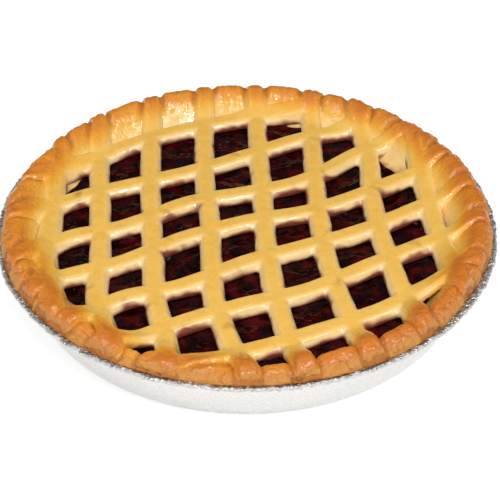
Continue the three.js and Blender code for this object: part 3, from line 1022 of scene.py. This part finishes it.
# %% [markdown]
# ## The lattice
# The lattice is strips of dough whose crossings have baked together into one sheet. Each strip is a
# long box with its upper edges bevelled, cut into short sections, and then laid along its line: level
# over the filling, up the crust and over the crest, where it spreads, and pinched at its torn end. The
# strips are then fused by a voxel remesh, as dough fuses where it touches.

# %% Strip blank
ROUNDING = 2.3
FLATNESS = 0.28  # 0.5 rounds the upper edges, and less makes them flatter slopes


def select_edges(piece, wanted):
    bpy.ops.mesh.select_all(action="DESELECT")
    mesh = bmesh.from_edit_mesh(piece.data)
    for edge in mesh.edges:
        if wanted(*(vert.co for vert in edge.verts)):
            edge.select = True
    bmesh.update_edit_mesh(piece.data)


def runs_along(a, b):
    return abs(a.x - b.x) > 1e-4


def runs_along_on_top(a, b):
    return runs_along(a, b) and min(a.z, b.z) > STRIP_THICKNESS * MM * 0.9


def strip_blank(name, width):
    """A box from x = 0 to 1 m, one section to a step, which is laid along its line afterwards."""
    bpy.ops.object.select_all(action="DESELECT")
    bpy.ops.mesh.primitive_cube_add(size=1)
    piece = bpy.context.object
    piece.name = name
    bpy.ops.object.mode_set(mode="EDIT")
    bpy.ops.mesh.select_mode(type="EDGE")
    bpy.ops.transform.translate(value=(0.5, 0, 0.5))
    bpy.ops.transform.resize(value=(1, width * MM, STRIP_THICKNESS * MM), center_override=(0, 0, 0))
    select_edges(piece, runs_along_on_top)
    bpy.ops.mesh.bevel(offset=ROUNDING * MM, segments=4, profile=FLATNESS, affect="EDGES")
    for cuts in (SECTIONS // 2 - 1, 1):
        select_edges(piece, runs_along)
        bpy.ops.mesh.subdivide(number_cuts=cuts)
    bpy.ops.object.mode_set(mode="OBJECT")
    return piece


# %% Lay the strips
SPREAD = 0.12  # how much wider a strip gets on the crest
FLARE = 0.30  # and again at its torn end, low down
CROWN = 0.9  # how much higher its middle is there
DOME = 0.55  # how far a strip falls off to its edges
UNEVEN = 0.05  # how uneven its width is
UNEVEN_ON_EDGE = 0.12  # and how much more so on the raised edge
SWAY = 0.35  # how far a strip's line wanders
TORN = 0.6  # how uneven its torn end is
PINCH = 0.9  # how much further back the end's upper side lies
OVER_TIN = 0.6  # how far over the tin's rim it stays
FIRST_STRIP_SEED = 20


def lay_strip(piece, line, width, drop, rim_drop, seed):
    points = points_of(piece)
    station = np.rint(points[:, 0] * MM * SECTIONS).astype(int)
    ahead = np.gradient(line, axis=0)
    ahead /= np.linalg.norm(ahead, axis=1)[:, None]
    side = np.column_stack([ahead[:, 1], -ahead[:, 0]])
    on_rim = smoothstep(96, 104, np.hypot(line[:, 0], line[:, 1]))
    flat_line = np.column_stack([line, np.zeros(len(line))])
    breadth = 1 + SPREAD * on_rim + UNEVEN * waver(flat_line, 14, seed)
    breadth += UNEVEN_ON_EDGE * on_rim * waver(flat_line, 5, seed + 1)
    sway = (SWAY * waver(flat_line, 18, seed + 2))[:, None] * side
    low = 1 - points[:, 2] / STRIP_THICKNESS
    past_crest = smoothstep(CREST_RADIUS, STRIP_END_RADIUS, np.hypot(line[:, 0], line[:, 1]))
    across = points[:, 1] * (breadth[station] + FLARE * past_crest[station] * low)
    place = (line + sway)[station] + side[station] * across[:, None]
    radius = np.hypot(place[:, 0], place[:, 1])
    angle = np.arctan2(place[:, 1], place[:, 0])
    end = STRIP_END_RADIUS + TORN * waver(np.column_stack([place, 0 * radius]), 5, seed + 60)
    end -= PINCH * (1 - low)
    end -= on_the_way_round(DRAWN_IN, angle)
    place *= (np.minimum(radius, end) / radius.clip(1))[:, None]
    radius = np.minimum(radius, end)
    climb = smoothstep(STRIP_BEND_RADIUS, CREST_RADIUS, radius)
    share = np.clip(2 * across / width, -1, 1)
    top = strip_height(radius, angle) - drop - (rim_drop - drop) * climb
    top -= DOME * share**2
    top += CROWN * on_rim[station] * (0.7 - 2 * share**2)
    height = top - STRIP_THICKNESS + points[:, 2]
    over_ledge = smoothstep(107, 110, radius)
    lowest = LATTICE_TOP - STRIP_THICKNESS
    height = np.maximum(height, lowest + over_ledge * (TIN_HEIGHT + OVER_TIN - lowest))
    move_points(piece, np.column_stack([place, height]))


strips = []
for number, line in enumerate(all_lines):
    long = number < len(long_lines)
    width = LONG_STRIP_WIDTH if long else CROSS_STRIP_WIDTH
    drops = (0, 0) if long else (CROSS_STRIP_DROP, CROSS_STRIP_RIM_DROP)
    strip = strip_blank(f"strip_{number}", width)
    lay_strip(strip, line, width, *drops, FIRST_STRIP_SEED + 3 * number)
    strips.append(strip)
select_only(*strips)
bpy.ops.object.join()
lattice = bpy.context.object
lattice.name = "lattice"
print("strips", len(lattice.data.vertices), "points")

# %% Fuse the strips
VOXEL = 0.8
SMOOTHING = 2
MOST_TRIANGLES = 190000

apply_modifier(lattice, "REMESH", mode="VOXEL", voxel_size=VOXEL * MM)
apply_modifier(lattice, "SMOOTH", factor=0.5, iterations=SMOOTHING)
print("fused lattice", triangles(lattice), "triangles")

# %% Uneven dough
points = points_of(lattice)
radius = np.hypot(points[:, 0], points[:, 1])
everywhere = lattice.vertex_groups.new(name="everywhere")
rim = lattice.vertex_groups.new(name="rim")
ends = lattice.vertex_groups.new(name="ends")
everywhere.add(list(range(len(points))), 1.0, "REPLACE")
for index in range(len(points)):
    rim.add([index], float(smoothstep(97, 105, radius[index])), "REPLACE")
    ends.add([index], float(smoothstep(106, 111, radius[index])), "REPLACE")
roughen(lattice, size=16, strength=0.6, group="everywhere")
apply_modifier(lattice, "SMOOTH", factor=0.5, iterations=4, vertex_group="rim")
roughen(lattice, size=5, strength=0.9, group="rim")
roughen(lattice, size=3.4, strength=1.4, group="ends")
roughen(lattice, size=1.6, strength=0.8, group="ends")
if triangles(lattice) > MOST_TRIANGLES:
    apply_modifier(lattice, "DECIMATE", ratio=MOST_TRIANGLES / triangles(lattice))
print("uneven lattice", triangles(lattice), "triangles")

# %% Middles, and painted shade along the edges
MIDDLE_BAND = (1.2, 4.6)  # from the middle line, where a strip is brownest, and where that ends
EDGE_SHADE_BAND = (5.0, 6.4)  # where the painted shade along its sides on the raised edge starts, and is darkest
points = points_of(lattice)
to_line = np.array([line_tree.find((x, y, 0))[2] for x, y, _ in points])
radius = np.hypot(points[:, 0], points[:, 1])
keep_values(lattice, "strip_middle", 1 - smoothstep(*MIDDLE_BAND, to_line))
# Painted shade: a strip's sides on the raised edge are darkened where they meet the crust.
keep_values(lattice, "crease", smoothstep(*EDGE_SHADE_BAND, to_line) * smoothstep(97, 102, radius))
finish_piece(lattice, "lattice_top", lattice_dough)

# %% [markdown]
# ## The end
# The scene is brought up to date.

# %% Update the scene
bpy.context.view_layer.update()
